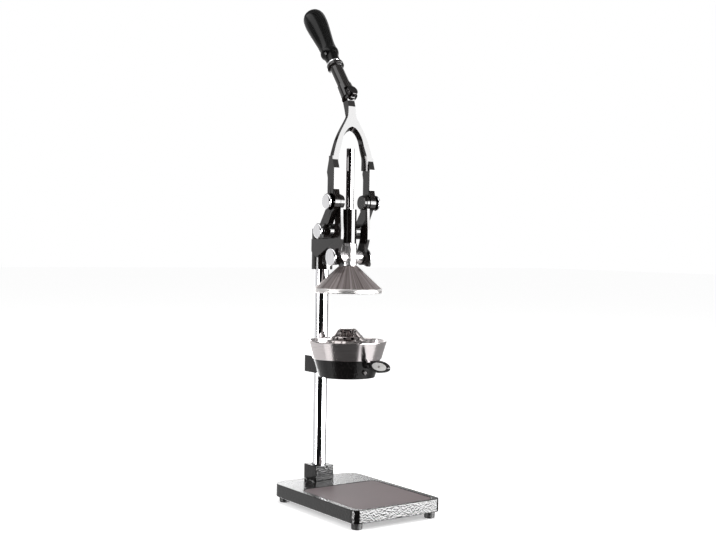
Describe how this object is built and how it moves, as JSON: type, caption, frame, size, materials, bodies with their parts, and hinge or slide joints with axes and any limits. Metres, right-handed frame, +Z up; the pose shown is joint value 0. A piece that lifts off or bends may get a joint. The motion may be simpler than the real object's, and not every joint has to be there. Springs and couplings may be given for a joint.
{
  "type": "lever citrus juice press",
  "caption": "Tall lever press: a forked lever drives a plunger and cone down into a cup with a reamer, carried on a column over a cast base with a mat.",
  "frame": {"origin": "centre of the bounding box at the level on which the feet stand", "axes": "+Z up the column, -Y towards the user at the cup, +X to the user's right"},
  "size_m": [0.157, 0.262, 0.7751],
  "materials": {
    "enamel": "dark hammertone enamel on cast metal, glossy",
    "chrome": "bright chrome plate",
    "steel": "stainless steel, satin to polished",
    "spun": "spun stainless steel with radial marks, satin",
    "plastic": "black, glossy",
    "rubber": "black, matt",
    "mat": "dark brown-grey, soft sheen",
    "bronze": "sintered bronze, dull",
    "plate": "bare light metal, satin"
  },
  "bodies": {
    "frame": {"base_casting": "enamel", "tray_mat": "mat", "foot_front_left": "rubber", "foot_front_right": "rubber", "foot_back_left": "rubber", "foot_back_right": "rubber", "foot_screw_front_left": "steel", "foot_screw_front_right": "steel", "foot_screw_back_left": "steel", "foot_screw_back_right": "steel", "column_foot_block": "enamel", "block_bolt_front_left": "steel", "block_bolt_front_right": "steel", "block_bolt_back_left": "steel", "block_bolt_back_right": "steel", "block_set_screw": "steel", "column_tube": "chrome", "column_plug": "plastic", "head_casting": "enamel", "head_set_screw_1": "steel", "head_set_screw_2": "steel", "guide_bush_upper": "bronze", "guide_bush_lower": "bronze", "pivot_shaft": "steel", "pivot_knob_left": "chrome", "pivot_knob_right": "chrome"},
    "lever": {"fork_casting": "enamel", "handle_arm": "enamel", "handle_bolt": "chrome", "grip_ferrule": "chrome", "grip": "plastic", "lever_pin_left": "chrome", "lever_pin_right": "chrome"},
    "plunger": {"plunger_rod": "steel", "crosshead": "steel", "cross_shaft": "steel", "cross_knob_left": "chrome", "cross_knob_right": "chrome", "pressing_cone": "spun", "cone_nut": "steel"},
    "links": {"link_left": "enamel", "link_right": "enamel", "link_pin_left": "chrome", "link_pin_right": "chrome"},
    "holder": {"cup_holder": "enamel", "tab_plate": "plate", "plate_rivet": "steel", "tab_screw": "steel", "clamp_bolt": "steel"},
    "cup": {"cup": "steel", "reamer": "steel"}
  },
  "joints": [
    {"name": "lever_swing", "type": "hinge", "parent": "frame", "child": "lever", "pos_m": [0, 0.02723, 0.4213], "axis": [1, 0, 0], "range_deg": [0, 100]},
    {"name": "plunger_slide", "type": "slide", "parent": "frame", "child": "plunger", "axis": [0, 0, -1], "range_m": [0, 0.0742]},
    {"name": "link_swing", "type": "hinge", "parent": "plunger", "child": "links", "pos_m": [0, 0.00723, 0.3818], "axis": [1, 0, 0], "range_deg": [0, 9.66]},
    {"name": "holder_slide", "type": "slide", "parent": "frame", "child": "holder", "axis": [0, 0, 1], "range_m": [-0.06, 0]},
    {"name": "cup_turn", "type": "hinge", "parent": "holder", "child": "cup", "pos_m": [0, 0.00723, 0.2], "axis": [0, 0, 1], "continuous": true}
  ],
  "couplings": [
    {"joint": "plunger_slide", "follows": "lever_swing", "m_per_rad": 0.042474},
    {"joint": "link_swing", "follows": "lever_swing", "ratio": 0.0964}
  ]
}
